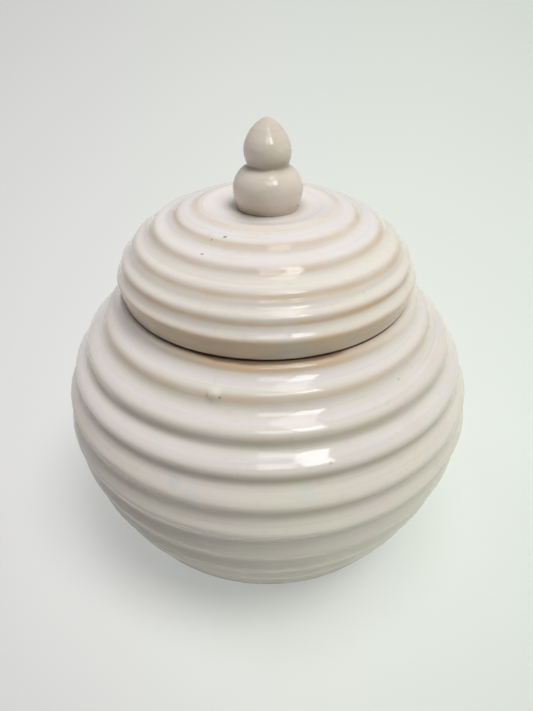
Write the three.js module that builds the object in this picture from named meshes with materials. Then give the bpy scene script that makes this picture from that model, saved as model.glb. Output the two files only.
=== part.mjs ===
// A lidded stoneware urn: a round jar with throwing ribs, a domed lid ribbed the same way,
// and a double-gourd finial stuck to the lid. Millimetres, +Z up, origin on the table
// under the middle of the foot.
import * as THREE from 'three';

// Jar: belly
const BELLY_RADIUS = 90.8;          // over the rib crests, at the widest level
const BELLY_LEVEL = 68.7;           // height of the widest level above the table
const SHOULDER_RISE = 73.5;         // belly level to the pole of the shoulder curve
const SHOULDER_FULLNESS = 1.9;      // 2 is an ellipse, less is more conical
const BASE_DROP = 112.5;            // belly level to the pole of the lower curve
const BASE_FULLNESS = 1.7;
const JAR_WALL = 6.5;               // from the rib crests to the smooth inside

// Jar: throwing ribs
const RIB_PITCH = 13.3;             // crest to crest along the wall, a fingertip wide
const RIB_DEPTH = 1.9;              // crest to valley
const TOP_GROOVE_DEPTH = 1.4;       // between the top rib and the edge of the lid seat
const TOP_RIB_LEVEL = 115.2;        // height of the first crest below the lid seat

// Jar: foot and floor
const FOOT_RADIUS = 57;
const FOOT_HEIGHT = 5;
const FOOT_WIDTH = 6.5;
const LOWEST_RIB_LEVEL = 17;        // no rib crest sits lower than this
const FOOT_RECESS = 3.2;            // the turned hollow under the floor
const FOOT_CHAMFER = 0.8;
const FLOOR_THICKNESS = 7;
const FLOOR_FILLET = 16;            // rounding of the inside corner above the floor

// Jar: seat and neck, both under the lid
const SEAT_LEVEL = 122;
const SEAT_MARGIN = 1.9;            // flat that shows round the lid's edge
const SEAT_EDGE = 0.5;              // softening of that edge
const NECK_RADIUS = 52.8;
const NECK_HEIGHT = 9;
const NECK_WALL = 4.6;

// Lid
const LID_GAP = 0.3;                // the lid's edge above the seat
const LID_FIT = 1.3;                // clearance round the neck
const SKIRT_WALL = 5.3;             // thickness of the skirt at its edge
const LIP_OVERHANG = 1.8;           // lip beyond the skirt's edge
const LID_SKIRT = 8.6;              // edge to lip crest
const DOME_HEIGHT = 26.3;           // lip crest to the crown of the dome's curve
const CROWN_RADIUS = 16;            // where that curve would be level
const LIP_ANGLE = 1.36;             // where the dome curve stops at the lip, radians from its top
const PAN_RADIUS = 21.6;            // the flat round the finial
const PAN_DISH = 2.4;               // how far that flat is sunk below the crown
const PAN_RIDGE_RADIUS = 26.7;      // the faint ridge round it
const PAN_GROOVE_DEPTH = 0.5;       // between that ridge and the innermost rib
const LID_WALL = 5.6;
const LIP_ROUNDING = 0.7;
const LID_RIB_PITCH = 7.8;          // first pitch above the lip, along the dome
const LID_RIB_GROWTH = 0.95;        // each pitch further in is wider by this much
const LID_RIB_DEPTH = 1.4;

// What follows from the neck: the lid fits round it, and the seat reaches past the lid
const LID_FOOT_RADIUS = NECK_RADIUS + LID_FIT + SKIRT_WALL;
const LID_RADIUS = LID_FOOT_RADIUS + LIP_OVERHANG;
const SEAT_RADIUS = LID_FOOT_RADIUS + SEAT_MARGIN;

// Finial
const FINIAL_GAP = 0.3;             // the slip joint under the finial
const FINIAL_BASE_RADIUS = 11.6;
const LOWER_BEAD_RADIUS = 13.65;
const LOWER_BEAD_LEVEL = 7.1;       // widest level, above the finial's base
const NECK_BETWEEN_RADIUS = 8;      // the waist between the two beads
const NECK_BETWEEN_LEVEL = 15.7;
const UPPER_DROP_RADIUS = 9.3;
const UPPER_DROP_LEVEL = 21.4;
const FINIAL_HEIGHT = 32.8;
const DROP_TAPER = 1.36;            // powers of cosine and sine that draw the drop to a point
const DROP_STRETCH = 1.25;

// Rib section and facets
const VALLEY_AT = 0.38;             // valley's place between two crests, from the upper one
const STEPS_PER_RIB = 6;
const STEPS_PER_LID_RIB = 5;
const UNDERSIDE_STEPS = 6;
const JAR_SEGMENTS = 48;
const FINIAL_SEGMENTS = 28;
const INSIDE_STEPS = 12;

const GLAZE = { color: 0xe7e1d8, roughness: 0.16, metalness: 0 };
const FINIAL_GLAZE = { color: 0xebdfd2, roughness: 0.2, metalness: 0 };

const at = (radius, level) => new THREE.Vector2(radius, level);

// One quarter of a rounded form: at angle 0 it is widest, at a quarter turn it is on the axis.
function quarter(radius, height, cosPower, sinPower, angle) {
  const out = Math.max(Math.cos(angle), 0) ** cosPower;
  const up = Math.max(Math.sin(angle), 0) ** sinPower;
  return at(radius * out, height * up);
}

// Section of the belly, over the crests, from low on the base up to the shoulder.
class BellyCurve extends THREE.Curve {
  getPoint(t) {
    const angle = THREE.MathUtils.lerp(-1.25, 1.1, t);
    const below = angle < 0;
    const power = 2 / (below ? BASE_FULLNESS : SHOULDER_FULLNESS);
    const height = below ? -BASE_DROP : SHOULDER_RISE;
    const p = quarter(BELLY_RADIUS, height, power, power, Math.abs(angle));
    return at(p.x, BELLY_LEVEL + p.y);
  }

  getTangent(t) {
    const step = 1e-4;
    const ahead = this.getPoint(Math.min(t + step, 1));
    return ahead.sub(this.getPoint(Math.max(t - step, 0))).normalize();
  }
}

// Section of the lid's dome over the crests: an elliptical arc from the crown out to the lip.
class DomeCurve extends THREE.Curve {
  shareAtRadius(radius) {
    const across = (LID_RADIUS - CROWN_RADIUS) / Math.sin(LIP_ANGLE);
    return Math.asin((radius - CROWN_RADIUS) / across) / LIP_ANGLE;
  }

  getPoint(t) {
    const angle = LIP_ANGLE * t;
    const across = (LID_RADIUS - CROWN_RADIUS) / Math.sin(LIP_ANGLE);
    const down = DOME_HEIGHT / (1 - Math.cos(LIP_ANGLE));
    const top = SEAT_LEVEL + LID_GAP + LID_SKIRT + DOME_HEIGHT;
    return at(CROWN_RADIUS + across * Math.sin(angle), top - down * (1 - Math.cos(angle)));
  }

  getTangent(t) {
    const step = 1e-4;
    const ahead = this.getPoint(Math.min(t + step, 1));
    return ahead.sub(this.getPoint(Math.max(t - step, 0))).normalize();
  }
}

// Depth of the finger groove between two crests, 0 on a crest and 1 in the valley.
function groove(share) {
  const side = share < VALLEY_AT ? share / VALLEY_AT : (1 - share) / (1 - VALLEY_AT);
  return (1 - Math.cos(Math.PI * side)) / 2;
}

// The point at a length along a curve, moved off it to its right.
function beside(curve, length, offset) {
  const share = THREE.MathUtils.clamp(length / curve.getLength(), 0, 1);
  const p = curve.getPointAt(share);
  const along = curve.getTangentAt(share);
  return at(p.x + offset * along.y, p.y - offset * along.x);
}

// The length along a rising curve at which it reaches a level.
function lengthAtLevel(curve, level) {
  let low = 0;
  let high = curve.getLength();
  for (let i = 0; i < 40; i += 1) {
    const middle = (low + high) / 2;
    if (beside(curve, middle, 0).y < level) low = middle;
    else high = middle;
  }
  return (low + high) / 2;
}

// A finger groove sunk below the straight line between two crests, without its last point.
function grooveBetween(from, to, depth, steps, upperCrestIsFrom) {
  const along = to.clone().sub(from).normalize();
  const points = [];
  for (let i = 0; i < steps; i += 1) {
    const share = i / steps;
    const sunk = depth * groove(upperCrestIsFrom ? share : 1 - share);
    const p = from.clone().lerp(to, share);
    points.push(at(p.x - sunk * along.y, p.y + sunk * along.x));
  }
  return points;
}

function lathe(name, profile, segments, finish) {
  const mesh = new THREE.Mesh(
    new THREE.LatheGeometry(profile, segments),
    new THREE.MeshStandardMaterial(finish),
  );
  mesh.name = name;
  mesh.rotation.x = Math.PI / 2;
  return mesh;
}

// Underside, foot ring, and the turned wall from the foot up to the lowest rib crest.
function footProfile(belly, lowestLength) {
  const inner = FOOT_RADIUS - FOOT_WIDTH;
  const crest = beside(belly, lowestLength, 0);
  const ahead = beside(belly, lowestLength + 1, 0);
  const slope = (ahead.x - crest.x) / (ahead.y - crest.y);
  const knee = at(crest.x - slope * (crest.y - FOOT_HEIGHT), FOOT_HEIGHT);
  const turned = new THREE.QuadraticBezierCurve(at(FOOT_RADIUS, FOOT_HEIGHT), knee, crest);
  return [
    at(0, FOOT_RECESS),
    at(inner - FOOT_CHAMFER, FOOT_RECESS),
    at(inner, 0),
    at(FOOT_RADIUS - FOOT_CHAMFER, 0),
    at(FOOT_RADIUS, FOOT_CHAMFER),
    ...turned.getPoints(UNDERSIDE_STEPS).slice(0, -1),
  ];
}

// Lengths along the belly of its rib crests, from the lowest up.
function bellyCrestLengths(belly) {
  const top = lengthAtLevel(belly, TOP_RIB_LEVEL);
  const count = Math.floor((top - lengthAtLevel(belly, LOWEST_RIB_LEVEL)) / RIB_PITCH);
  return Array.from({ length: count + 1 }, (_, i) => top - (count - i) * RIB_PITCH);
}

function seatAndNeckProfile() {
  const top = SEAT_LEVEL + NECK_HEIGHT;
  const middle = NECK_RADIUS - NECK_WALL / 2;
  const points = [
    at(SEAT_RADIUS, SEAT_LEVEL - SEAT_EDGE),
    at(SEAT_RADIUS - SEAT_EDGE, SEAT_LEVEL),
    at(NECK_RADIUS, SEAT_LEVEL),
  ];
  for (let i = 0; i <= 4; i += 1) {
    const angle = (Math.PI * i) / 4;
    const half = NECK_WALL / 2;
    points.push(at(middle + half * Math.cos(angle), top - half + half * Math.sin(angle)));
  }
  return points;
}

// Smooth inside of the jar, from the mouth down the wall and over the floor to the axis.
function insideProfile(belly) {
  const floor = FOOT_RECESS + FLOOR_THICKNESS;
  const top = lengthAtLevel(belly, SEAT_LEVEL - RIB_DEPTH);
  const bottom = lengthAtLevel(belly, floor + FLOOR_FILLET);
  const points = [at(NECK_RADIUS - NECK_WALL, SEAT_LEVEL - JAR_WALL)];
  for (let i = 0; i <= INSIDE_STEPS; i += 1) {
    points.push(beside(belly, THREE.MathUtils.lerp(top, bottom, i / INSIDE_STEPS), -JAR_WALL));
  }
  const wallEnd = points[points.length - 1];
  const corner = at(wallEnd.x - FLOOR_FILLET / 2, floor);
  const turn = new THREE.QuadraticBezierCurve(wallEnd, corner, at(wallEnd.x - 2 * FLOOR_FILLET, floor));
  points.push(...turn.getPoints(4).slice(1), at(0, floor));
  return points;
}

function jarBody() {
  const belly = new BellyCurve();
  const lengths = bellyCrestLengths(belly);
  const crests = lengths.map((length) => beside(belly, length, 0));
  crests.push(at(SEAT_RADIUS, SEAT_LEVEL - SEAT_EDGE));
  const profile = footProfile(belly, lengths[0]);
  for (let i = 0; i + 1 < crests.length; i += 1) {
    const depth = i + 2 < crests.length ? RIB_DEPTH : TOP_GROOVE_DEPTH;
    profile.push(...grooveBetween(crests[i], crests[i + 1], depth, STEPS_PER_RIB, false));
  }
  profile.push(...seatAndNeckProfile(), ...insideProfile(belly));
  return lathe('jar_body', profile, JAR_SEGMENTS, GLAZE);
}

// Inside of the lid, flat under the pan, out to the skirt and down round its edge.
function lidUnderside(dome) {
  const edge = SEAT_LEVEL + LID_GAP;
  const skirt = NECK_RADIUS + LID_FIT;
  const ceiling = panLevel() - LID_WALL;
  const points = [at(0, ceiling)];
  for (let i = 0; i <= INSIDE_STEPS; i += 1) {
    const p = beside(dome, (dome.getLength() * i) / INSIDE_STEPS, LID_WALL);
    if (p.y < ceiling && p.x < skirt - LIP_ROUNDING) points.push(p);
  }
  const last = points[points.length - 1];
  points.push(
    at(skirt, last.y - LIP_ROUNDING),
    at(skirt, edge + LIP_ROUNDING),
    at(skirt + LIP_ROUNDING, edge),
    at(LID_FOOT_RADIUS - LIP_ROUNDING, edge),
    at(LID_FOOT_RADIUS, edge + LIP_ROUNDING),
  );
  return points;
}

// Crests of the dome from the lip in to the last that fits outside the ridge round the pan.
function domeCrests(dome) {
  const crests = [beside(dome, dome.getLength(), 0)];
  let pitch = LID_RIB_PITCH;
  let length = dome.getLength() - pitch;
  while (beside(dome, length, 0).x - PAN_RIDGE_RADIUS > pitch / 2) {
    crests.push(beside(dome, length, 0));
    pitch += LID_RIB_GROWTH;
    length -= pitch;
  }
  return crests;
}

function lidDome() {
  const dome = new DomeCurve();
  const crests = domeCrests(dome);
  const lip = crests[0];
  const profile = lidUnderside(dome);
  profile.push(at(lip.x - LIP_ROUNDING / 2, lip.y - LIP_ROUNDING));
  for (let i = 0; i + 1 < crests.length; i += 1) {
    profile.push(
      ...grooveBetween(crests[i], crests[i + 1], LID_RIB_DEPTH, STEPS_PER_LID_RIB, false),
    );
  }
  const ridge = dome.getPoint(dome.shareAtRadius(PAN_RIDGE_RADIUS));
  const innermost = crests[crests.length - 1];
  profile.push(...grooveBetween(innermost, ridge, PAN_GROOVE_DEPTH, STEPS_PER_LID_RIB, false));
  profile.push(ridge, at(PAN_RADIUS, panLevel()), at(0, panLevel()));
  return lathe('lid_dome', profile, JAR_SEGMENTS, GLAZE);
}

function panLevel() {
  return SEAT_LEVEL + LID_GAP + LID_SKIRT + DOME_HEIGHT - PAN_DISH;
}

// Half-height that takes a bead from its widest radius to another one, a given way off.
function beadHeight(widest, other, away) {
  return away / Math.sqrt(1 - (other / widest) ** 2);
}

function beadPoints(radius, height, level, fromAngle, toAngle, steps) {
  const points = [];
  for (let i = 0; i <= steps; i += 1) {
    const angle = THREE.MathUtils.lerp(fromAngle, toAngle, i / steps);
    points.push(at(radius * Math.cos(angle), level + height * Math.sin(angle)));
  }
  return points;
}

function finial() {
  const rise = NECK_BETWEEN_LEVEL - LOWER_BEAD_LEVEL;
  const drop = UPPER_DROP_LEVEL - NECK_BETWEEN_LEVEL;
  const baseAngle = Math.acos(FINIAL_BASE_RADIUS / LOWER_BEAD_RADIUS);
  const lowerWaist = Math.acos(NECK_BETWEEN_RADIUS / LOWER_BEAD_RADIUS);
  const upperWaist = Math.acos(NECK_BETWEEN_RADIUS / UPPER_DROP_RADIUS);
  const underside = beadHeight(LOWER_BEAD_RADIUS, FINIAL_BASE_RADIUS, LOWER_BEAD_LEVEL);
  const shoulder = beadHeight(LOWER_BEAD_RADIUS, NECK_BETWEEN_RADIUS, rise);
  const chin = beadHeight(UPPER_DROP_RADIUS, NECK_BETWEEN_RADIUS, drop);
  const profile = [
    at(0, 0),
    ...beadPoints(LOWER_BEAD_RADIUS, underside, LOWER_BEAD_LEVEL, -baseAngle, 0, 3),
    ...beadPoints(LOWER_BEAD_RADIUS, shoulder, LOWER_BEAD_LEVEL, 0, lowerWaist, 6).slice(1),
    ...beadPoints(UPPER_DROP_RADIUS, chin, UPPER_DROP_LEVEL, -upperWaist, 0, 3).slice(1),
  ];
  const steps = 7;
  for (let i = 1; i <= steps; i += 1) {
    const angle = (Math.PI / 2) * (i / steps);
    const height = FINIAL_HEIGHT - UPPER_DROP_LEVEL;
    const p = quarter(UPPER_DROP_RADIUS, height, DROP_TAPER, DROP_STRETCH, angle);
    profile.push(at(i === steps ? 0 : p.x, UPPER_DROP_LEVEL + p.y));
  }
  const mesh = lathe('finial', profile, FINIAL_SEGMENTS, FINIAL_GLAZE);
  mesh.position.z = panLevel() + FINIAL_GAP;
  return mesh;
}

const urn = new THREE.Group();
const lid = new THREE.Group();
lid.add(lidDome(), finial());
urn.add(jarBody(), lid);

export default urn;
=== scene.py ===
import math

import bpy
import numpy as np
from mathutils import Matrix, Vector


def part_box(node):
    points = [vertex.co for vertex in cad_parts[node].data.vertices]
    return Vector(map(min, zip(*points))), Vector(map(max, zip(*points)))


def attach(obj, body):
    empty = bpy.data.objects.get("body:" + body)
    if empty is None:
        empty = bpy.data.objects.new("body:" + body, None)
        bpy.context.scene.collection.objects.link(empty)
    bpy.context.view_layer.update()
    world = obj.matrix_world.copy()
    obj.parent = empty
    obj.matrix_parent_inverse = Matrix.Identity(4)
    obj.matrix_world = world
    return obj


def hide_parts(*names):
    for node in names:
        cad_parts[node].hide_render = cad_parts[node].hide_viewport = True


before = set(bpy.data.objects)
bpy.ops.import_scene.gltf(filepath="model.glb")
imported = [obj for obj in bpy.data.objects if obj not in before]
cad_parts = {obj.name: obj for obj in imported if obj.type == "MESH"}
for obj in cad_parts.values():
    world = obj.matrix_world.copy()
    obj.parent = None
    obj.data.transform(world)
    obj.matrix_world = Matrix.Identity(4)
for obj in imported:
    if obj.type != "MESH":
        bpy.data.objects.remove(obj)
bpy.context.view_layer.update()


# The camera is a phone held by hand just over the jar, looking down at 35 degrees. Its
# picture is 533 by 711 pixels, upright, so its sensor's long side is the picture's height.
PICTURE_HEIGHT = 711
FOCAL_PIXELS = 534
SENSOR_MM = 36
CAMERA_PLACE = (-0.001, -0.205, 0.228)
CAMERA_PITCH_DOWN = 35.32
CAMERA_TURN = -0.12
NEAREST_SEEN = 0.005

camera_data = bpy.data.cameras.new("camera")
camera_data.sensor_width = SENSOR_MM
camera_data.lens = FOCAL_PIXELS / PICTURE_HEIGHT * SENSOR_MM
camera_data.clip_start = NEAREST_SEEN
camera = bpy.data.objects.new("camera", camera_data)
camera.location = CAMERA_PLACE
camera.rotation_euler = (math.radians(90 - CAMERA_PITCH_DOWN), 0, math.radians(CAMERA_TURN))
bpy.context.scene.collection.objects.link(camera)
bpy.context.scene.camera = camera


# The jar is one wall of stoneware, thrown round and then pressed with a fingertip into ribs,
# with a foot ring turned under it and a short neck that the lid hides. It is dipped in a
# cream glaze, which is wiped off the foot and off the seat of the lid before firing.
MM = 0.001                      # outlines are drawn in millimetres, meshes made in metres
BELLY_RADIUS = 90.8
BELLY_LEVEL = 68.7
SHOULDER_RISE = 73.5
SHOULDER_FULLNESS = 1.9
BASE_DROP = 112.5
BASE_FULLNESS = 1.7
UPPER_ARC = 1.1                 # how much of each quarter outline the belly needs, in radians
LOWER_ARC = 1.25
JAR_WALL = 6.5
RIB_PITCH = 13.3
RIB_DEPTH = 1.9
TOP_GROOVE_DEPTH = 1.4
VALLEY_AT = 0.38
TOP_RIB_LEVEL = 115.2
LOWEST_RIB_LEVEL = 17
FOOT_RADIUS = 57
FOOT_HEIGHT = 5
FOOT_WIDTH = 6.5
FOOT_RECESS = 3.2
FOOT_EDGE = 0.8
FLOOR_LEVEL = 10.2
FLOOR_FILLET = 16
LID_GAP = 0.3                   # the lid's edge above its seat
lid_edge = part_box("lid_dome")[0][2] / MM
SEAT_LEVEL = lid_edge - LID_GAP
SEAT_RADIUS = 61.3
SEAT_EDGE = 0.5
NECK_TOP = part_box("jar_body")[1][2] / MM
NECK_RADIUS = 52.8
NECK_WALL = 4.6
GLAZE_ROUNDING = 0.6            # how far the melted glaze rounds every edge
CURVE_STEPS = 1500
OUTLINE_STEP = 0.15
STRAY_CLIMB = 11                # uneven waves turn by about a radian in this length of wall
JAR_COLUMNS = 330
JAR_ROW = 0.8
HIDDEN_ROW = 4.5
JAR_RUN = 7                     # half of the run over which the wall's own direction is taken
GROOVE_REACH = 3
JAR_STRAY = 0.15                # how far they move the wall
TAN_BELOW_CREST = 2.2           # where along the wall each painted band lies, and its reach
TAN_REACH = 1.7
DARK_ABOVE_VALLEY = 1.7
DARK_REACH = 1.9
MILK_ABOVE_CREST = 4
MILK_REACH = 3
# how strongly thin tan glaze and the lid's painted shadow lie on the seat in front
SEAT_TAN_AND_SHADOW = 0.88


def superellipse(radius, height, fullness, angle):
    """A quarter outline: cosine and sine raised to 2 over the fullness, 2 being an ellipse."""
    power = 2 / fullness
    return np.column_stack([radius * np.cos(angle) ** power, height * np.sin(angle) ** power])


def arc_length(outline):
    """Length along an outline from its first point to each of its points."""
    return np.r_[0, np.cumsum(np.linalg.norm(np.diff(outline, axis=0), axis=1))]


def at_lengths(outline, lengths):
    """The points of an outline at those lengths along it."""
    run = arc_length(outline)
    return np.column_stack([np.interp(lengths, run, outline[:, k]) for k in (0, 1)])


def length_to(outline, point):
    """Length along an outline to the one of its points that is nearest the given point."""
    return arc_length(outline)[np.linalg.norm(outline - point, axis=1).argmin()]


def beside(outline, lengths, offset):
    """The points at those lengths, moved off the outline to its left at right angles to it."""
    step = at_lengths(outline, lengths + 0.1) - at_lengths(outline, lengths - 0.1)
    step /= np.linalg.norm(step, axis=1, keepdims=True)
    return at_lengths(outline, lengths) + offset * np.column_stack([-step[:, 1], step[:, 0]])


def bend(start, knee, end, steps):
    """A quadratic curve that leaves start towards the knee and comes to end from it."""
    t = np.linspace(0, 1, steps)[:, None]
    return (1 - t) ** 2 * start + 2 * t * (1 - t) * knee + t ** 2 * end


def fingered(crests, depth, steps=60):
    """A wall of finger grooves between crests, given from the lowest up. Each is sunk to the left
    of the straight line between its crests by depth times half a cosine wave down from the
    upper crest to the valley, and another half up to the lower one."""
    share = (np.arange(steps) / steps)[None, :, None]
    lower, upper = crests[:-1, None], crests[1:, None]
    side = np.where(1 - share < VALLEY_AT, (1 - share) / VALLEY_AT, share / (1 - VALLEY_AT))
    sunk = depth * (1 - np.cos(np.pi * side)) / 2
    along = (upper - lower) / np.linalg.norm(upper - lower, axis=2, keepdims=True)
    left = np.concatenate([-along[..., 1:], along[..., :1]], axis=2)
    wall = lower + (upper - lower) * share + left * sunk
    return np.vstack([wall.reshape(-1, 2), crests[-1:]])


def melted(outline, rounding):
    """The outline cut into even steps and blurred along itself by a bell curve. Both of its ends
    lie on the axis, so beyond them it goes on as its own mirror image."""
    run = arc_length(outline)
    even = at_lengths(outline, np.linspace(0, run[-1], int(run[-1] / OUTLINE_STEP)))
    reach = int(4 * rounding / OUTLINE_STEP)
    bell = np.exp(-0.5 * (np.arange(-reach, reach + 1) * OUTLINE_STEP / rounding) ** 2)
    before = even[reach:0:-1] * (-1, 1)
    after = even[-2:-reach - 2:-1] * (-1, 1)
    held = np.vstack([before, even, after])
    soft = [np.convolve(held[:, k], bell / bell.sum(), "valid") for k in (0, 1)]
    return np.column_stack(soft).clip((0, -1000), None)


def row_places(outline, fine_from, fine_to, fine, coarse):
    """Lengths along the outline for the rows of a mesh, close together between two lengths."""
    total = arc_length(outline)[-1]
    before = np.linspace(0, fine_from, max(int(fine_from / coarse), 1) + 1)
    middle = np.linspace(fine_from, fine_to, int((fine_to - fine_from) / fine) + 1)
    after = np.linspace(fine_to, total, max(int((total - fine_to) / coarse), 1) + 1)
    return np.r_[before[:-1], middle, after[1:]]


def near(places, marks, reach):
    """A bell curve along the outline round each mark, and at each place the highest of them. Like
    the next function's, its values are a column, one for each row of a mesh."""
    away = (places[:, None] - np.atleast_1d(marks)) / reach
    return np.exp(-away ** 2).max(axis=1, keepdims=True)


def between(places, start, end, soft=0.6):
    """One from start to end along the outline and nothing beyond, with soft ends."""
    along = places[:, None]
    return np.clip((along - start) / soft, 0, 1) * np.clip((end - along) / soft, 0, 1)


def turns(columns):
    """The turn of each column of a mesh round the axis, from the camera's side to the right."""
    return np.arange(columns) * 2 * math.pi / columns


def from_front(turn):
    """The same turns counted both ways from the camera's side, those to its left as less than 0."""
    return np.where(turn > math.pi, turn - 2 * math.pi, turn)


def facing(turn, toward, spread):
    """A bell curve round the pot, one at the turn toward."""
    return np.exp(-((from_front(turn) - toward) / spread) ** 2)


def waved(places, marks, waves, turn):
    """One slow wave round the pot at each mark along the outline, and even steps from mark to
    mark. A wave's three numbers are for the whole ring, the sine and the cosine of the turn."""
    still, aside, ahead = (np.interp(places, marks, part)[:, None] for part in np.transpose(waves))
    return still + aside * np.sin(turn) + ahead * np.cos(turn)


def strayed(seed, turn, places, reach):
    """The small unevenness of a hand-made wall: five seeded waves that turn as they climb, each
    with one more crest round the pot than the one before and lower than it."""
    phase = np.random.default_rng(seed).uniform(0, 2 * math.pi, 5)
    climb = places[:, None] / STRAY_CLIMB
    swell = [np.sin((k + 2) * turn + phase[k] + (1.3 - k) * climb) / (k + 1) for k in range(5)]
    return reach * sum(swell) / 2


def pushed(outline, places, slide, sink, reach):
    """How far out and how far up the wall's points go when they slide along its general run, taken
    over reach to both sides, and sink into it at right angles."""
    run = at_lengths(outline, places + reach) - at_lengths(outline, places - reach)
    run /= np.linalg.norm(run, axis=1, keepdims=True)
    across, rise = run[:, :1], run[:, 1:]
    return across * slide - rise * sink, rise * slide + across * sink


def revolved(name, rows, turn, out, up, aside, **painted):
    """Carries rows of (radius, level) round the axis: x is the radius times the sine of the turn,
    y minus the radius times its cosine and z the level, after out, up and aside are added. The
    first and last rows close to one point. Each painted value, which is a number, a column or a
    whole grid, becomes an attribute."""
    columns = len(turn)
    radius, level = rows[:, :1] + out, rows[:, 1:] + up
    spread = np.broadcast_arrays(radius * np.sin(turn) + aside, -radius * np.cos(turn), level)
    grid = np.stack(spread, axis=2)
    points = np.vstack([grid[:1].mean(1), grid[1:-1].reshape(-1, 3), grid[-1:].mean(1)]) * MM
    last = len(points) - 1
    here = np.arange(columns)
    ahead = (here + 1) % columns
    row = 1 + np.arange(len(rows) - 3)[:, None] * columns
    quads = np.stack([row + here, row + ahead, row + columns + ahead, row + columns + here], 2)
    first_fan = np.column_stack([0 * here, 1 + ahead, 1 + here])
    last_fan = np.column_stack([0 * here + last, last - columns + here, last - columns + ahead])
    corners = np.r_[quads.reshape(-1), first_fan.reshape(-1), last_fan.reshape(-1)]
    sides = np.r_[np.full(quads.shape[0] * columns, 4), np.full(2 * columns, 3)]
    mesh = bpy.data.meshes.new(name)
    mesh.vertices.add(len(points))
    mesh.vertices.foreach_set("co", points.reshape(-1))
    mesh.loops.add(len(corners))
    mesh.loops.foreach_set("vertex_index", corners.astype(np.int32))
    mesh.polygons.add(len(sides))
    mesh.polygons.foreach_set("loop_start", np.r_[0, np.cumsum(sides)[:-1]].astype(np.int32))
    mesh.polygons.foreach_set("use_smooth", np.ones(len(sides), bool))
    mesh.update(calc_edges=True)
    for label, values in painted.items():
        layer = mesh.attributes.new(label, "FLOAT", "POINT")
        full = np.broadcast_to(values, (len(rows), columns))
        per_point = np.r_[full[0].mean(), full[1:-1].reshape(-1), full[-1].mean()]
        layer.data.foreach_set("value", per_point.astype(np.float32))
    piece = bpy.data.objects.new(name, mesh)
    bpy.context.scene.collection.objects.link(piece)
    return piece


def tone(code):
    """A colour written as six hexadecimal digits, as linear light."""
    parts = np.array([int(code[k:k + 2], 16) for k in (0, 2, 4)]) / 255
    linear = np.where(parts <= 0.04045, parts / 12.92, ((parts + 0.055) / 1.055) ** 2.4)
    return (*linear, 1)


def wire(tree, kind, sockets=None, **settings):
    """Adds a node with its settings, and gives each of its named inputs a value or a link."""
    node = tree.nodes.new(kind)
    for key, value in settings.items():
        setattr(node, key, value)
    for key, value in (sockets or {}).items():
        if isinstance(value, bpy.types.NodeSocket):
            tree.links.new(value, node.inputs[key])
        else:
            node.inputs[key].default_value = value
    return node


def reckon(tree, operation, *terms):
    """One step of arithmetic on sockets and numbers."""
    return wire(tree, "ShaderNodeMath", dict(enumerate(terms)), operation=operation).outputs[0]


def laid_over(tree, amount, under, over):
    """The colour over laid on the colour under, by amount."""
    mix = wire(tree, "ShaderNodeMix", {0: amount, 6: under, 7: over}, data_type="RGBA")
    return mix.outputs[2]


def eased(tree, value, low, high):
    """Nothing at low, one at high, and an S curve between."""
    sockets = {0: value, 1: low, 2: high}
    return wire(tree, "ShaderNodeMapRange", sockets, interpolation_type="SMOOTHSTEP").outputs[0]


def clouds(tree, place, per_metre, detail=2.0):
    """Soft noise with that many lumps to the metre."""
    sockets = {"Vector": place, "Scale": per_metre, "Detail": detail}
    return wire(tree, "ShaderNodeTexNoise", sockets).outputs["Fac"]


DRIFT_LUMPS = 17                # the glaze's noises have this many lumps to the metre
PATCH_LUMPS = 70
GRAIN_LUMPS = 420
PEEL_LUMPS = 260
STREAKS_ROUND = 14              # streaks are long round the pot and short along its wall
STREAKS_ALONG = 600
SPECK_CELLS = 95
SPECK_RARITY = 0.96
SPECK_AMOUNT = 0.25
MOTTLE_TO_RIGHT = 1.2
STREAK_AMOUNT = 0.16
GRAIN_AMOUNT = 0.12
PEEL_HEIGHT = 0.025
STREAK_HEIGHT = 0.07
CLAY_HEIGHT = 0.25
GLAZE_ROUGHNESS = 0.03
CLAY_ROUGHNESS = 0.7


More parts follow.
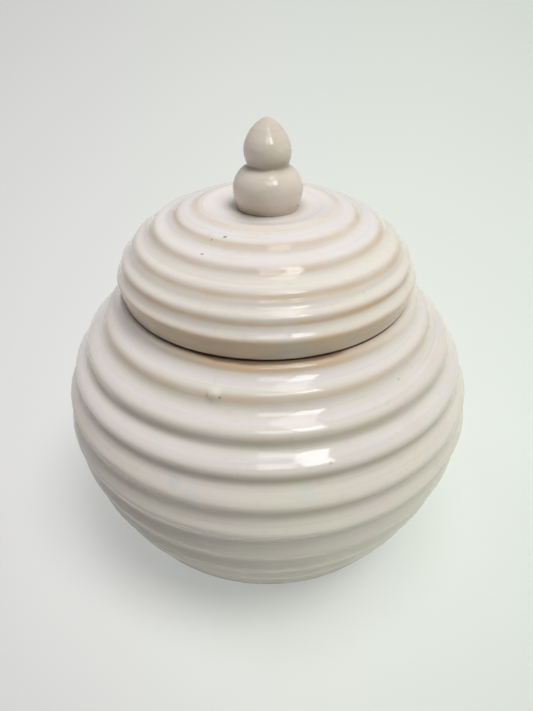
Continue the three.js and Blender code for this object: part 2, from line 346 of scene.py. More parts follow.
def glaze_group():
    """The fired coat: full glaze mottled with a second tone, milky where it is thick, darker and
    greyer where glaze gathered in a groove and where shade is painted, tan where it ran thin under
    a crest, and bare clay where it was wiped off. Noise breaks every border between them."""
    tree = bpy.data.node_groups.new("fired glaze", "ShaderNodeTree")
    for label in ("Full", "Mottle", "Milk", "Pooled", "Thin", "Speck", "Clay"):
        tree.interface.new_socket(label, in_out="INPUT", socket_type="NodeSocketColor")
    for label in ("Thickness", "Pool", "Thinness", "Bareness", "Along"):
        tree.interface.new_socket(label, in_out="INPUT", socket_type="NodeSocketFloat")
    tree.interface.new_socket("Color", in_out="OUTPUT", socket_type="NodeSocketColor")
    tree.interface.new_socket("Roughness", in_out="OUTPUT", socket_type="NodeSocketFloat")
    tree.interface.new_socket("Height", in_out="OUTPUT", socket_type="NodeSocketFloat")
    given = tree.nodes.new("NodeGroupInput").outputs
    place = tree.nodes.new("ShaderNodeTexCoord").outputs["Object"]
    apart = wire(tree, "ShaderNodeSeparateXYZ", {0: place}).outputs
    rings = wire(tree, "ShaderNodeCombineXYZ", {
        0: reckon(tree, "MULTIPLY", apart[0], STREAKS_ROUND),
        1: reckon(tree, "MULTIPLY", apart[1], STREAKS_ROUND),
        2: reckon(tree, "MULTIPLY", given["Along"], STREAKS_ALONG),
    }).outputs[0]
    drift = clouds(tree, place, DRIFT_LUMPS)
    patches = clouds(tree, place, PATCH_LUMPS, detail=3.0)
    grains = clouds(tree, place, GRAIN_LUMPS, detail=3.0)
    streaks = clouds(tree, rings, 1.0)
    peel = clouds(tree, place, PEEL_LUMPS, detail=1.0)

    cloudy = reckon(tree, "MULTIPLY_ADD", patches, 0.6, reckon(tree, "MULTIPLY", drift, 0.4))
    toward_right = reckon(tree, "MULTIPLY_ADD", apart[0], MOTTLE_TO_RIGHT, cloudy)
    colour = laid_over(tree, eased(tree, toward_right, 0.38, 0.62), given["Full"], given["Mottle"])
    milky = reckon(tree, "MULTIPLY", given["Thickness"], eased(tree, cloudy, 0.3, 0.55))
    colour = laid_over(tree, milky, colour, given["Milk"])
    # Glaze gathered in grooves and painted shade, both broken up by noise.
    pool_breakup = reckon(tree, "MULTIPLY_ADD", streaks, 0.5, reckon(tree, "MULTIPLY", patches, 0.5))
    pool = reckon(tree, "MULTIPLY", given["Pool"], eased(tree, pool_breakup, 0.0, 0.55))
    colour = laid_over(tree, pool, colour, given["Pooled"])
    ragged = reckon(tree, "MULTIPLY_ADD", patches, 0.9, reckon(tree, "MULTIPLY", streaks, 0.5))
    thin = reckon(tree, "MULTIPLY", given["Thinness"], eased(tree, ragged, 0.3, 0.85))
    colour = laid_over(tree, thin, colour, given["Thin"])
    faint_streaks = reckon(tree, "MULTIPLY", eased(tree, streaks, 0.5, 0.8), STREAK_AMOUNT)
    faint = reckon(tree, "MULTIPLY_ADD", eased(tree, grains, 0.55, 0.8), GRAIN_AMOUNT, faint_streaks)
    colour = laid_over(tree, faint, colour, given["Pooled"])
    cells = wire(tree, "ShaderNodeTexVoronoi", {"Vector": place, "Scale": SPECK_CELLS}).outputs
    chosen = wire(tree, "ShaderNodeSeparateColor", {0: cells["Color"]}).outputs
    speck = reckon(tree, "MULTIPLY", eased(tree, cells["Distance"], 0.075, 0.03),
                   reckon(tree, "GREATER_THAN", chosen[1], SPECK_RARITY))
    colour = laid_over(tree, reckon(tree, "MULTIPLY", speck, SPECK_AMOUNT), colour, given["Speck"])
    torn = reckon(tree, "SUBTRACT", patches, 0.5)
    wiped = reckon(tree, "MULTIPLY_ADD", torn, 0.7, given["Bareness"])
    bare = eased(tree, wiped, 0.3, 0.7)
    clay = laid_over(tree, reckon(tree, "MULTIPLY", grains, 0.35), given["Clay"], given["Speck"])
    colour = laid_over(tree, bare, colour, clay)

    gloss = reckon(tree, "MULTIPLY_ADD", patches, 0.08, GLAZE_ROUGHNESS)
    roughness = reckon(tree, "MULTIPLY_ADD", bare, CLAY_ROUGHNESS, gloss)
    thrown = reckon(tree, "MULTIPLY", streaks, STREAK_HEIGHT)
    smooth = reckon(tree, "MULTIPLY_ADD", peel, PEEL_HEIGHT, thrown)
    gritty = reckon(tree, "MULTIPLY", reckon(tree, "MULTIPLY", grains, bare), CLAY_HEIGHT)
    height = reckon(tree, "ADD", smooth, gritty)
    wire(tree, "NodeGroupOutput", {"Color": colour, "Roughness": roughness, "Height": height})
    return tree


fired_glaze = glaze_group()


def glazed(name, flaws=(), **colours):
    """A material of that glaze in its own colours. It reads the piece's painted attributes. Each
    flaw is a soft round spot: a place in millimetres, a radius, an amount and a colour."""
    material = bpy.data.materials.new(name)
    material.use_nodes = True
    tree = material.node_tree
    surface = tree.nodes["Principled BSDF"]
    sockets = {label.capitalize(): tone(code) for label, code in colours.items()}
    for label in ("Thickness", "Pool", "Thinness", "Bareness", "Along"):
        reader = wire(tree, "ShaderNodeAttribute", attribute_name=label.lower())
        sockets[label] = reader.outputs["Fac"]
    coat = wire(tree, "ShaderNodeGroup", sockets, node_tree=fired_glaze)
    colour = coat.outputs["Color"]
    for centre, radius, amount, code in flaws:
        here = tree.nodes.new("ShaderNodeTexCoord").outputs["Object"]
        middle = tuple(part * MM for part in centre)
        away = wire(tree, "ShaderNodeVectorMath", {0: here, 1: middle}, operation="DISTANCE")
        spot = eased(tree, away.outputs["Value"], radius * MM, radius * MM * 0.4)
        colour = laid_over(tree, reckon(tree, "MULTIPLY", spot, amount), colour, tone(code))
    relief = wire(tree, "ShaderNodeBump", {"Height": coat.outputs["Height"], "Distance": MM})
    tree.links.new(colour, surface.inputs["Base Color"])
    tree.links.new(coat.outputs["Roughness"], surface.inputs["Roughness"])
    tree.links.new(relief.outputs["Normal"], surface.inputs["Normal"])
    return material


below = superellipse(
    BELLY_RADIUS, -BASE_DROP, BASE_FULLNESS, np.linspace(LOWER_ARC, 0, CURVE_STEPS))
above = superellipse(
    BELLY_RADIUS, SHOULDER_RISE, SHOULDER_FULLNESS, np.linspace(0, UPPER_ARC, CURVE_STEPS))
belly = np.vstack([below, above[1:]]) + (0, BELLY_LEVEL)


def belly_length(level):
    """Length along the belly at which it reaches a level."""
    return np.interp(level, belly[:, 1], arc_length(belly))


rib_span = belly_length(TOP_RIB_LEVEL) - belly_length(LOWEST_RIB_LEVEL)
rib_lengths = belly_length(TOP_RIB_LEVEL) - RIB_PITCH * np.arange(int(rib_span / RIB_PITCH), -1, -1)
lowest, above_lowest = at_lengths(belly, rib_lengths[0] + np.array([0, 1]))
underside_slope = (above_lowest[0] - lowest[0]) / (above_lowest[1] - lowest[1])
knee = np.array([lowest[0] - underside_slope * (lowest[1] - FOOT_HEIGHT), FOOT_HEIGHT])
seat_edge = np.array([SEAT_RADIUS, SEAT_LEVEL - SEAT_EDGE])
jar_crests = np.vstack([at_lengths(belly, rib_lengths), seat_edge])
foot_inside = FOOT_RADIUS - FOOT_WIDTH
foot = np.array([
    [0, FOOT_RECESS],
    [foot_inside - FOOT_EDGE, FOOT_RECESS],
    [foot_inside, 0],
    [FOOT_RADIUS - FOOT_EDGE, 0],
    [FOOT_RADIUS, FOOT_EDGE],
])
foot_top = np.array([FOOT_RADIUS, FOOT_HEIGHT])
half_neck = NECK_WALL / 2
over_rim = np.linspace(0, math.pi, 16)
rim_centre = np.array([NECK_RADIUS - half_neck, NECK_TOP - half_neck])
rim = rim_centre + half_neck * np.column_stack([np.cos(over_rim), np.sin(over_rim)])
inside_lengths = np.linspace(
    belly_length(SEAT_LEVEL - RIB_DEPTH), belly_length(FLOOR_LEVEL + FLOOR_FILLET), 80)
inside = beside(belly, inside_lengths, JAR_WALL)
inside_foot = inside[-1, 0]
inside_corner = bend(
    inside[-1],
    np.array([inside_foot - FLOOR_FILLET / 2, FLOOR_LEVEL]),
    np.array([inside_foot - 2 * FLOOR_FILLET, FLOOR_LEVEL]), steps=24)
jar_outline = melted(np.vstack([
    foot,
    bend(foot_top, knee, lowest, steps=30)[:-1],
    fingered(jar_crests[:-1], RIB_DEPTH)[:-1],
    fingered(jar_crests[-2:], TOP_GROOVE_DEPTH),
    [[SEAT_RADIUS - SEAT_EDGE, SEAT_LEVEL], [NECK_RADIUS, SEAT_LEVEL]],
    rim,
    [[NECK_RADIUS - NECK_WALL, SEAT_LEVEL - JAR_WALL]],
    inside,
    inside_corner[1:],
    [[0, FLOOR_LEVEL]],
]), GLAZE_ROUNDING)

foot_start = length_to(jar_outline, foot[1])
foot_end = length_to(jar_outline, foot_top)
seat_start = length_to(jar_outline, seat_edge)
neck_end = length_to(jar_outline, rim[-1])
crest_at = np.array([length_to(jar_outline, crest) for crest in jar_crests])
jar_places = row_places(jar_outline, foot_start, neck_end, JAR_ROW, HIDDEN_ROW)
valley_at = crest_at[1:] - VALLEY_AT * np.diff(crest_at)
jar_turn = turns(JAR_COLUMNS)

# The rings were drawn by hand, so they climb and dip round the pot. A wave for each groove says
# how far the wall's pattern stands above its true place, and another how much deeper it is.
groove_marks = np.r_[foot_end, valley_at, seat_start]
jar_slide = waved(jar_places, groove_marks, (
    (0, 0, 0), (0, 0, 0), (-1, 0, 0), (0.5, -0.8, -0.2), (0.45, 1.7, 0.7),
    (0.2, 0.2, 0.2), (-0.3, 0.5, 0.5), (-0.8, 0.75, 0.4), (1.1, 1.05, -1.3),
    (0, 0, 0), (0, 0, 0)), jar_turn)
jar_deeper = waved(jar_places, valley_at, (
    (-0.3, 0, 0), (-0.3, 0, 0), (-0.2, 0, 0), (-0.1, 0, 0), (-0.2, -0.2, 0),
    (0, -0.1, 0), (0.3, -0.2, 0), (-0.25, -0.1, 0), (-0.7, 0, 0)), jar_turn)
in_groove = near(jar_places, valley_at, GROOVE_REACH)
on_wall = between(jar_places, foot_end + 1, seat_start - 1, soft=4)
astray = strayed(4, jar_turn, jar_places, JAR_STRAY) * on_wall

# A drip of glaze hangs over the second crest at the left of the camera's side. It is a bell
# curve up and down, and across it one with a flatter top.
DRIP_TURN = math.radians(-15.6)
DRIP_AT = 196.9
DRIP_WALL_RADIUS = 68           # the wall's own radius where the drip hangs
DRIP_HALF_WIDTH = 1.7
DRIP_HALF_HEIGHT = 1.9
DRIP_THICKNESS = 1.1
drip_across = (from_front(jar_turn) - DRIP_TURN) * DRIP_WALL_RADIUS / DRIP_HALF_WIDTH
drip = np.exp(-drip_across ** 4) * near(jar_places, DRIP_AT, DRIP_HALF_HEIGHT)

jar_out, jar_up = pushed(
    jar_outline, jar_places,
    jar_slide + astray,
    jar_deeper * in_groove + astray ** 2 - DRIP_THICKNESS * drip, JAR_RUN)

# The coat ran thin and tan just under each crest. Just over each groove it is painted darker and
# greyer, partly as glaze gathered there and partly as painted shade, which is deeper on the left.
# Low on the belly, most on the left, it is greyed by a greyer glaze and by painted shade. Under the
# lid's edge in front it is painted tan and dark, as thin glaze and as the lid's painted shadow.
tan_waves = waved(jar_places, crest_at, (
    (0.1, 0, 0), (0.1, 0, 0), (0.1, 0, 0), (0.1, 0, 0), (0.1, 0.05, 0), (0.15, 0.05, 0),
    (0.2, 0.1, 0), (0.25, 0.15, 0), (0.5, 0, 0.1), (0, 0, 0)), jar_turn)
tan_below = near(jar_places, crest_at - TAN_BELOW_CREST, TAN_REACH) * tan_waves
# Painted darker over each groove: gathered glaze, and painted shade deeper on the left.
dark_waves = waved(jar_places, valley_at, (
    (0.2, -0.1, 0), (0.2, -0.1, 0), (0.3, -0.2, 0), (0.4, -0.35, 0), (0.55, -0.3, 0),
    (0.55, -0.3, 0.1), (0.5, -0.2, 0), (0.1, 0, 0), (0, 0, 0)), jar_turn)
dark_above = near(jar_places, valley_at + DARK_ABOVE_VALLEY, DARK_REACH) * dark_waves
# Painted grey low on the belly, most on the left: a greyer glaze and painted shade.
low_grey_and_shade = waved(jar_places, crest_at[:7], (
    (0.35, 0, 0), (0.1, -0.15, 0), (0.35, -1, 0), (0.2, -0.5, 0), (0.1, -0.35, -0.05),
    (0.05, -0.3, 0), (0, 0, 0)), jar_turn).clip(0, 1)
in_front = facing(jar_turn, toward=0, spread=0.8)
# Painted tan and dark under the lid's edge in front: thin glaze and the lid's painted shadow.
seat_strip = between(jar_places, seat_start - 3.4, seat_start + 5, soft=1.9)
seat_tan_and_shadow = SEAT_TAN_AND_SHADOW * seat_strip * in_front ** 1.6
wiped_foot = between(jar_places, foot_start - 3, foot_end - 2.5)
# The seat is bare under the lid; in front the bare clay reaches out from under it as painted shade
# too.
wiped_seat_and_shade = np.maximum(
    between(jar_places, seat_start - 0.9, neck_end - 3, soft=2.5) * in_front ** 2,
    between(jar_places, seat_start + 2.6, neck_end - 3, soft=0.8))
jar = revolved(
    "jar",
    at_lengths(jar_outline, jar_places),
    jar_turn, jar_out, jar_up, 0,
    thickness=near(jar_places, crest_at[6:] + MILK_ABOVE_CREST, MILK_REACH),
    thinness=np.maximum(tan_below, seat_tan_and_shadow) * (1 - drip),
    pool=np.maximum(np.maximum(dark_above, low_grey_and_shade), seat_tan_and_shadow) * (1 - drip),
    bareness=np.maximum(wiped_foot, wiped_seat_and_shade),
    along=jar_places[:, None] * MM,
)

# Two pale bluish patches lie on the front of the belly at the left, and a painted reflection at
# the right. A brown point sits over them to the right, and another at each side of the drip.
jar_flaws = (
    ((-32.7, -79.7, 85.8), 3.4, 0.5, "d6dae0"),
    ((-27.2, -83.6, 83.6), 4.2, 0.35, "d6dae0"),
    # a painted reflection of a bluish light, on the right of the front
    ((12.9, -85.5, 85.7), 4.2, 0.4, "dfe6ea"),
    ((20.6, -79.8, 95.3), 1.3, 0.45, "b8926a"),
    ((-20.2, -66, 113.2), 1, 0.5, "9a6d48"),
    ((-16.4, -67.1, 113.2), 0.9, 0.6, "9a6d48"),
)
jar.data.materials.append(glazed(
    "cream glaze on the jar", jar_flaws,
    full="ede4de", mottle="ece8db", milk="ece7e6", pooled="b0ac9c", thin="e6c39e",
    speck="6e5a48", clay="a08872"))
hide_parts("jar_body")
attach(jar, "jar")


# The lid is thrown upside down as a shallow bowl, turned and ribbed like the jar, with an
# undercut rim and a flat sunk into its top for the finial. It is glazed inside and out in the
# jar's cream, and only the edge that rests on the jar is wiped bare.
LID_FIT = 1.3
LID_FOOT_RADIUS = 59.4
LID_RADIUS = 61.2
LID_SKIRT = 8.6
DOME_HEIGHT = 26.3
CROWN_RADIUS = 16
LIP_ANGLE = 1.36
PAN_RADIUS = 21.6
DISH_WIDTH = 2.1
PAN_DISH = 2.4
PAN_RIDGE_RADIUS = 26.7
PAN_GROOVE_DEPTH = 0.5
LID_WALL = 5.6
LIP_ROUNDING = 0.7
LID_RIB_PITCH = 7.8
LID_RIB_GROWTH = 0.95
LID_RIB_DEPTH = 1.4
LID_ASIDE = -0.6                # the lid sits this far to the left, loose on the jar's neck
LID_COLUMNS = 300
LID_ROW = 0.8
LID_HIDDEN_ROW = 4
LID_RUN = 4
LID_GROOVE_REACH = 2
LID_STRAY = 0.12
LID_TAN_BELOW_CREST = (0.6, 1.7, 1.7, 1.7, 1.7, 0.3)
LID_TAN_REACH = 1.5
LID_GREY_ABOVE_VALLEY = 1.5
LID_GREY_REACH = 1.3
LID_GREY = 0.12
LID_MILK_ABOVE_CREST = 3.5
LID_MILK_REACH = 3.5

dome_top = lid_edge + LID_SKIRT + DOME_HEIGHT
pan_level = dome_top - PAN_DISH
across = (LID_RADIUS - CROWN_RADIUS) / math.sin(LIP_ANGLE)
down = DOME_HEIGHT / (1 - math.cos(LIP_ANGLE))
dome_angle = np.linspace(0, LIP_ANGLE, 1200)
dome = np.column_stack([
    CROWN_RADIUS + across * np.sin(dome_angle), dome_top - down * (1 - np.cos(dome_angle))])
dome_length = arc_length(dome)[-1]
pitches = LID_RIB_PITCH + LID_RIB_GROWTH * np.arange(4)
lid_crests = at_lengths(dome, dome_length - np.r_[0, np.cumsum(pitches)])
ridge = dome[np.abs(dome[:, 0] - PAN_RIDGE_RADIUS).argmin()]
hollow = beside(dome, np.linspace(0.1, dome_length - 0.1, 80), -LID_WALL)
dish_turn = np.linspace(0, math.pi, 40)
dish = np.column_stack([
    ridge[0] - (ridge[0] - PAN_RADIUS) * DISH_WIDTH * dish_turn / math.pi,
    pan_level + (ridge[1] - pan_level) * (1 + np.cos(dish_turn)) / 2])
skirt_inside = NECK_RADIUS + LID_FIT
ceiling = pan_level - LID_WALL
hollow = hollow[(hollow[:, 0] < skirt_inside - LIP_ROUNDING) & (hollow[:, 1] < ceiling)]
skirt = np.array([
    [skirt_inside, hollow[-1, 1] - LIP_ROUNDING],
    [skirt_inside, lid_edge + LIP_ROUNDING],
    [skirt_inside + LIP_ROUNDING, lid_edge],
    [LID_FOOT_RADIUS - LIP_ROUNDING, lid_edge],
    [LID_FOOT_RADIUS, lid_edge + LIP_ROUNDING],
    [lid_crests[0, 0] - LIP_ROUNDING / 2, lid_crests[0, 1] - LIP_ROUNDING],
])
lid_outline = melted(np.vstack([
    [[0, ceiling]],
    hollow,
    skirt,
    fingered(lid_crests, LID_RIB_DEPTH)[:-1],
    fingered(np.vstack([lid_crests[-1], ridge]), PAN_GROOVE_DEPTH)[:-1],
    dish,
    [[0, pan_level]],
]), GLAZE_ROUNDING)

lid_crest_at = np.array([length_to(lid_outline, crest) for crest in (*lid_crests, ridge)])
lid_valley_at = lid_crest_at[1:] - VALLEY_AT * np.diff(lid_crest_at)
skirt_start = length_to(lid_outline, skirt[1])
lid_edge_at = length_to(lid_outline, skirt[4])
pan_end = length_to(lid_outline, np.array([3, pan_level]))
lid_places = row_places(lid_outline, skirt_start, pan_end, LID_ROW, LID_HIDDEN_ROW)
lid_turn = turns(LID_COLUMNS)
lid_slide = waved(lid_places, np.r_[lid_crest_at[0], lid_valley_at, pan_end - 20], (
    (0, 0, 0), (-0.1, 0.1, 0.3), (-0.3, 0.05, 0.4), (0, -0.1, 0.1), (0.7, -0.05, -0.9),
    (0, 0.4, 0), (0, 0, 0)), lid_turn)
lid_deeper = waved(lid_places, lid_valley_at, (
    (-0.6, 0.3, 0), (-0.85, 0, 0), (-0.5, 0.1, 0.1), (-0.4, 0.2, 0.1), (0, 0, 0)), lid_turn)
in_lid_groove = near(lid_places, lid_valley_at, LID_GROOVE_REACH)
on_dome = between(lid_places, lid_crest_at[0] - 1, pan_end - 14, soft=4)
lid_astray = strayed(9, lid_turn, lid_places, LID_STRAY) * on_dome
lid_out, lid_up = pushed(
    lid_outline, lid_places,
    lid_slide * on_dome + lid_astray,
    lid_deeper * in_lid_groove + lid_astray ** 2, LID_RUN)


def eased_step(places, start, end):
    """Nothing up to start, one from end on, and an S curve between, as a column."""
    t = np.clip((places[:, None] - start) / (end - start), 0, 1)
    return t * t * (3 - 2 * t)


# Its coat is thinner than the jar's: tan under each crest and all over the undercut. The undercut
# is also painted grey, most at the left and in front, partly as thin glaze and partly as painted
# shade; the grooves are faintly grey, as glaze gathered there and as painted shade, and the flat
# round the finial is grey, with a ring of painted shadow at the finial's foot.
lid_tan_waves = waved(lid_places, lid_crest_at, (
    (0.9, 0, 0.1), (0.95, 0.1, 0), (0.6, 0.1, 0), (0.6, 0.1, 0), (0.5, 0.1, 0),
    (0.35, 0, 0)), lid_turn)
lid_tan_below = lid_tan_waves * near(
    lid_places, lid_crest_at - LID_TAN_BELOW_CREST, LID_TAN_REACH)
undercut = between(lid_places, lid_edge_at, lid_crest_at[0] + 0.6, soft=1.6)
undercut_tan = undercut * waved(lid_places, [0], [(0.6, -0.1, 0.15)], lid_turn)
# Painted grey on the undercut: thin glaze, and painted shade at the left and in front.
undercut_grey = undercut * waved(lid_places, [0], [(0.4, -0.55, 0.45)], lid_turn)
# Faintly grey over the lid's grooves: gathered glaze and painted shade.
groove_grey = LID_GREY * near(
    lid_places, lid_valley_at[:-1] + LID_GREY_ABOVE_VALLEY, LID_GREY_REACH)
on_pan = eased_step(lid_places, pan_end - 18, pan_end - 13)
front_left = facing(lid_turn, toward=-0.5, spread=0.5)
# Grey glaze on the flat, most at its front left, and a painted shadow ring round the finial's foot.
pan_grey = on_pan * (0.1 + 0.6 * front_left) + 0.4 * near(lid_places, pan_end - 10, 3)
lid_milky = np.r_[lid_crest_at[3:] + LID_MILK_ABOVE_CREST, pan_end - 16]
lid = revolved(
    "lid",
    at_lengths(lid_outline, lid_places),
    lid_turn, lid_out, lid_up, LID_ASIDE,
    thickness=near(lid_places, lid_milky, LID_MILK_REACH),
    thinness=np.maximum(lid_tan_below, undercut_tan),
    pool=np.maximum(np.maximum(groove_grey, pan_grey), undercut_grey),
    bareness=between(lid_places, skirt_start - 6, skirt_start + 6),
    along=lid_places[:, None] * MM,
)

# Three brown points lie on the dome, to the left of its front.
lid_flaws = (
    ((-15, -30.2, 154.5), 0.9, 0.7, "6e5a48"),
    ((-19.6, -30, 153.3), 0.7, 0.5, "6e5a48"),
    ((-22.7, -35.9, 150.8), 0.8, 0.6, "7d6650"),
)
lid.data.materials.append(glazed(
    "cream glaze on the lid", lid_flaws,
    full="f3ebe5", mottle="f3ede2", milk="f3eff0", pooled="aeaaa0", thin="e6c8a4",
    speck="6e5a48", clay="a98a6c"))
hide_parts("lid_dome")
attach(lid, "lid")


# The finial is a double gourd turned on the wheel by itself, a round bead with a pointed
# drop over it, stuck to the lid with slip while both were leather-hard. It has the lid's
# glaze, a shade warmer, which ran thin round its base.
finial_low, finial_high = (np.array(corner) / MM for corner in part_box("finial"))
FINIAL_BASE_RADIUS = 11.6
LOWER_BEAD_RADIUS = 13.65
LOWER_BEAD_LEVEL = 7.1
WAIST_RADIUS = 8
WAIST_LEVEL = 15.7
UPPER_DROP_RADIUS = 9.3
UPPER_DROP_LEVEL = 21.4
TIP_TAPER = 1.36
TIP_STRETCH = 1.25
TIP_MELTED = 0.5                # how much lower the melted tip ends than the pointed one
FINIAL_LEAN = -0.5
LEAN_FROM = 0.35                # the share of the height from which it leans
FINIAL_PRESSED = 0.12
SLIP_REACH = 1.1
SLIP_UP_TO = 14                 # the slip ends at this point of the bead's outline
FINIAL_COLUMNS = 144
FINIAL_ROW = 0.5


def bead(radius, start_radius, below_it, end_radius, above_it, level):
    """Two quarter ellipses that share the widest level: one comes up from a smaller radius a way
    below it, the other goes on to another radius a way above it."""
    low = below_it / math.sqrt(1 - (start_radius / radius) ** 2)
    high = above_it / math.sqrt(1 - (end_radius / radius) ** 2)
    under = np.linspace(-math.acos(start_radius / radius), 0, 60)
    upper = np.linspace(0, math.acos(end_radius / radius), 60)[1:]
    turn = np.r_[under, upper]
    height = np.r_[under * 0 + low, upper * 0 + high]
    return np.column_stack([radius * np.cos(turn), level + height * np.sin(turn)])


lower_bead = bead(
    LOWER_BEAD_RADIUS, FINIAL_BASE_RADIUS, LOWER_BEAD_LEVEL,
    WAIST_RADIUS, WAIST_LEVEL - LOWER_BEAD_LEVEL, LOWER_BEAD_LEVEL)
chin = bead(
    UPPER_DROP_RADIUS, WAIST_RADIUS, UPPER_DROP_LEVEL - WAIST_LEVEL,
    WAIST_RADIUS, 1, UPPER_DROP_LEVEL)[:60]
to_tip = np.linspace(0, math.pi / 2, 120)[1:, None]
tip_rise = finial_high[2] - finial_low[2] - UPPER_DROP_LEVEL - TIP_MELTED
drop = np.hstack([
    UPPER_DROP_RADIUS * np.cos(to_tip).clip(0) ** TIP_TAPER,
    UPPER_DROP_LEVEL + tip_rise * np.sin(to_tip) ** TIP_STRETCH,
])
finial_outline = np.vstack([[[0, 0]], lower_bead, chin[1:], drop]) + (0, finial_low[2])
slip = bend(
    np.array([FINIAL_BASE_RADIUS + SLIP_REACH, pan_level]),
    np.array([FINIAL_BASE_RADIUS, pan_level]),
    finial_outline[SLIP_UP_TO], steps=12)
finial_outline = np.vstack([[[0, pan_level]], slip[:-1], finial_outline[SLIP_UP_TO:]])
finial_outline = melted(finial_outline, GLAZE_ROUNDING)
waist_at = length_to(finial_outline, lower_bead[-1] + (0, finial_low[2]))
base_at = length_to(finial_outline, lower_bead[0] + (0, finial_low[2]))
tip_at = arc_length(finial_outline)[-1]
finial_places = row_places(finial_outline, base_at - 2, tip_at - 0.4, FINIAL_ROW, 3)

# Fingers pressed it a little out of round, by two slow waves that turn as they climb. Its waist
# is painted grey, partly as glaze gathered there and partly as painted shade in the crease, and
# its tip is faintly grey.
finial_turn = turns(FINIAL_COLUMNS)
finial_rows = at_lengths(finial_outline, finial_places)
finial_height = (finial_rows[:, 1:] - finial_low[2]) / (finial_high[2] - finial_low[2])
pressed = FINIAL_PRESSED * (1 + np.cos(2 * finial_turn + 5 * finial_height))
# Painted grey in the waist: gathered glaze and painted shade in the crease.
waist_grey = 0.8 * near(finial_places, waist_at + 1, 2.2)
tip_grey = 0.25 * near(finial_places, tip_at - 2, 5)
finial = revolved(
    "finial_gourd",
    finial_rows,
    finial_turn,
    -pressed * np.clip(finial_rows[:, :1] / WAIST_RADIUS, 0, 1),
    0,
    FINIAL_LEAN * np.clip((finial_height - LEAN_FROM) / (1 - LEAN_FROM), 0, 1),
    thickness=0,
    thinness=0.3 * near(finial_places, base_at + 3, 4),
    pool=np.maximum(waist_grey, tip_grey),
    bareness=0,
    along=finial_places[:, None] * MM,
)
finial.data.materials.append(glazed(
    "beige glaze on the finial",
    full="efe3da", mottle="ede2d2", milk="efe3da", pooled="b5a795", thin="d9b49c",
    speck="6e5a48", clay="a98a6c"))
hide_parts("finial")
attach(finial, "lid")


# The jar stands on a plain pale table top in a bright room, lit softly from overhead and from
# its right. A window's three panes show in the glaze as rows of short bright lines.
TABLE_HALF = 12
TABLE_UNDER_FOOT = 0.0001
TABLE_LEFT = "e6e6e6"
TABLE_RIGHT = "edf4ec"
TABLE_PLAIN_SHARE = 0.5         # how much of the table top shows its colour without the shadow
TABLE_PLAIN_LEVEL = 0.97
TABLE_MIRRORED = 0.2            # how much of that shows where the glaze mirrors the table
FALL_TO_EDGES = -0.23
FALL_TO_FAR = -0.05
DARKEST_SHARE = 0.78
LEAST_DEPTH = 0.1
TABLE_ROUGHNESS = 0.6
TABLE_SHINE = 0.1

corner_signs = np.array([[-1, -1], [1, -1], [1, 1], [-1, 1]])
floor_points = np.column_stack([corner_signs * TABLE_HALF, np.full(4, -TABLE_UNDER_FOOT)])
floor_mesh = bpy.data.meshes.new("floor")
floor_mesh.from_pydata(floor_points.tolist(), [], [(0, 1, 2, 3)])
floor = bpy.data.objects.new("floor", floor_mesh)
bpy.context.scene.collection.objects.link(floor)
floor_paint = bpy.data.materials.new("table top")
floor_paint.use_nodes = True
paint = floor_paint.node_tree

# Its colour shifts from a neutral tone at the left to a greener one at the right, and painted shade
# darkens it towards the edges of the view, most at the far side. How far to the side and how high
# a place lies in view follows from its way forward of the camera and the camera's height and pitch.
on_table = paint.nodes.new("ShaderNodeTexCoord").outputs["Object"]
place = wire(paint, "ShaderNodeSeparateXYZ", {0: on_table})
pitch = math.radians(CAMERA_PITCH_DOWN)
forward = reckon(paint, "SUBTRACT", place.outputs[1], CAMERA_PLACE[1])
off = reckon(paint, "SUBTRACT", place.outputs[0], CAMERA_PLACE[0])
ahead = CAMERA_PLACE[2] * math.sin(pitch)
under = CAMERA_PLACE[2] * math.cos(pitch)
depth = reckon(paint, "MULTIPLY_ADD", forward, math.cos(pitch), ahead)
rise = reckon(paint, "MULTIPLY_ADD", forward, math.sin(pitch), -under)
depth = reckon(paint, "MAXIMUM", depth, LEAST_DEPTH)
to_side = reckon(paint, "DIVIDE", off, depth)
to_far = reckon(paint, "DIVIDE", rise, depth)
to_right = reckon(paint, "ADD", to_side, 0.5)
two_tone = laid_over(paint, to_right, tone(TABLE_LEFT), tone(TABLE_RIGHT))
# Painted shade: darker away from the middle of the view.
painted_falloff = reckon(paint, "MULTIPLY_ADD", reckon(paint, "MULTIPLY", to_far, to_far), FALL_TO_EDGES, 1.0)
painted_falloff = reckon(
    paint, "MULTIPLY_ADD", reckon(paint, "MULTIPLY", to_side, to_side), FALL_TO_EDGES, painted_falloff)
painted_falloff = reckon(paint, "MULTIPLY_ADD", to_far, FALL_TO_FAR, painted_falloff)
painted_falloff = reckon(paint, "MINIMUM", reckon(paint, "MAXIMUM", painted_falloff, DARKEST_SHARE), 1.0)
table_colour = wire(paint, "ShaderNodeVectorMath", {0: two_tone, "Scale": painted_falloff}, operation="SCALE")
floor_surface = paint.nodes["Principled BSDF"]
floor_surface.inputs["Roughness"].default_value = TABLE_ROUGHNESS
floor_surface.inputs["Specular IOR Level"].default_value = TABLE_SHINE
paint.links.new(table_colour.outputs[0], floor_surface.inputs["Base Color"])
plain = wire(paint, "ShaderNodeEmission", {
    "Color": table_colour.outputs[0],
    "Strength": TABLE_PLAIN_LEVEL,
})
seen = paint.nodes.new("ShaderNodeLightPath").outputs
looked_at = reckon(
    paint, "MULTIPLY_ADD", seen["Is Glossy Ray"], TABLE_MIRRORED, seen["Is Camera Ray"])
mixed = wire(paint, "ShaderNodeMixShader", {
    0: reckon(paint, "MULTIPLY", looked_at, TABLE_PLAIN_SHARE),
    1: floor_surface.outputs[0],
    2: plain.outputs[0],
})
paint.links.new(mixed.outputs[0], paint.nodes["Material Output"].inputs["Surface"])
floor.data.materials.append(floor_paint)


# The light is soft, as from a bright ceiling with more of it at the right. Each soft light is as
# wide as a ceiling lamp or a bright wall seen from the jar, and its level is what it adds to a
# white surface that faces it.
LAMP_DISTANCE = 1.5
LAMPS_LOOK_AT = 0.1             # the height of the jar's middle
SOFT_LIGHT_WIDTH = math.radians(26)


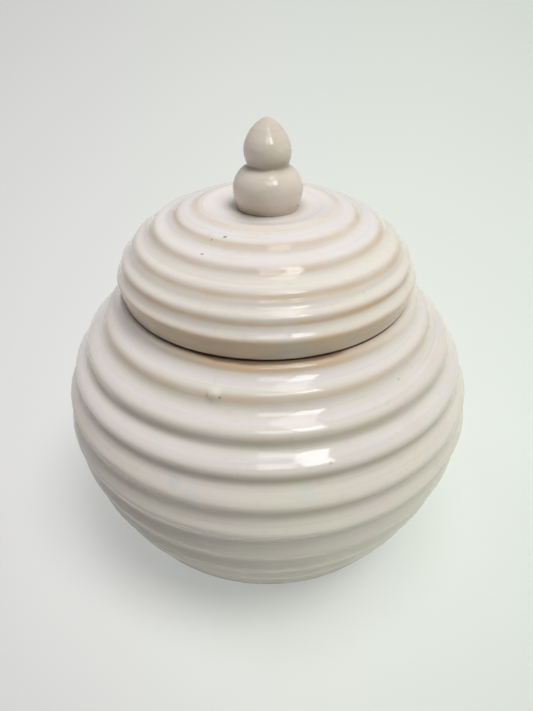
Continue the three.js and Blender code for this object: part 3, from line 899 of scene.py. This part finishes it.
def hang(name, lamp, azimuth, elevation):
    """Hangs a lamp on a sphere round the jar's middle and turns it to look there. Azimuth counts
    from the camera's side to the right, and elevation up from level, in degrees."""
    light = bpy.data.objects.new(name, lamp)
    side, rise = math.radians(azimuth), math.radians(elevation)
    light.location = (
        LAMP_DISTANCE * math.cos(rise) * math.sin(side),
        -LAMP_DISTANCE * math.cos(rise) * math.cos(side),
        LAMP_DISTANCE * math.sin(rise) + LAMPS_LOOK_AT,
    )
    light.rotation_euler = (math.pi / 2 - rise, 0, side)
    bpy.context.scene.collection.objects.link(light)
    return light


for name, azimuth, elevation, level, code in (
    ("overhead", 0, 90, 0.30, "ffffff"),
    ("from the right", 60, 68, 0.58, "fffdf8"),
    ("from behind", 180, 24, 0.04, "ffffff"),
    ("from behind on the right", 135, 24, 0.07, "ffffff"),
    ("from behind on the left", 240, 46, 0.09, "ffffff"),
):
    lamp = bpy.data.lights.new(name, "SUN")
    lamp.energy = level * math.pi
    lamp.angle = SOFT_LIGHT_WIDTH
    lamp.color = tone(code)[:3]
    hang(name, lamp, azimuth, elevation).visible_glossy = False

# The window's panes are lit by the sky and show only as reflections.
PANE_COLOUR = "fbfdff"
for name, azimuth, elevation, width, height, brightness in (
    ("window's bright pane", 30, 50, 0.36, 0.46, 7.6),
    ("window's dim pane", 5, 50, 0.42, 0.42, 3.6),
    ("window's upper pane", 32, 70, 0.4, 0.5, 3),
):
    lamp = bpy.data.lights.new(name, "AREA")
    lamp.shape = "RECTANGLE"
    lamp.size, lamp.size_y = width, height
    lamp.energy = brightness * math.pi * width * height
    lamp.color = tone(PANE_COLOUR)[:3]
    hang(name, lamp, azimuth, elevation).visible_diffuse = False

# The room's walls light the jar very little. The glaze mirrors them dimly, and past the edge of
# the table top they look as pale as it does.
ROOM_LIGHT = 0.035
ROOM_MIRRORED = 0.35
ROOM_SEEN = 0.65
world = bpy.data.worlds.new("room")
world.use_nodes = True
bpy.context.scene.world = world
room = world.node_tree
sky = room.nodes["Background"]
sky.inputs["Color"].default_value = (1, 1, 1, 1)
ray = room.nodes.new("ShaderNodeLightPath").outputs
bright = reckon(room, "MULTIPLY_ADD", ray["Is Glossy Ray"], ROOM_MIRRORED, ROOM_LIGHT)
bright = reckon(room, "MULTIPLY_ADD", ray["Is Camera Ray"], ROOM_SEEN, bright)
room.links.new(bright, sky.inputs["Strength"])
bpy.context.scene.view_settings.view_transform = "Standard"
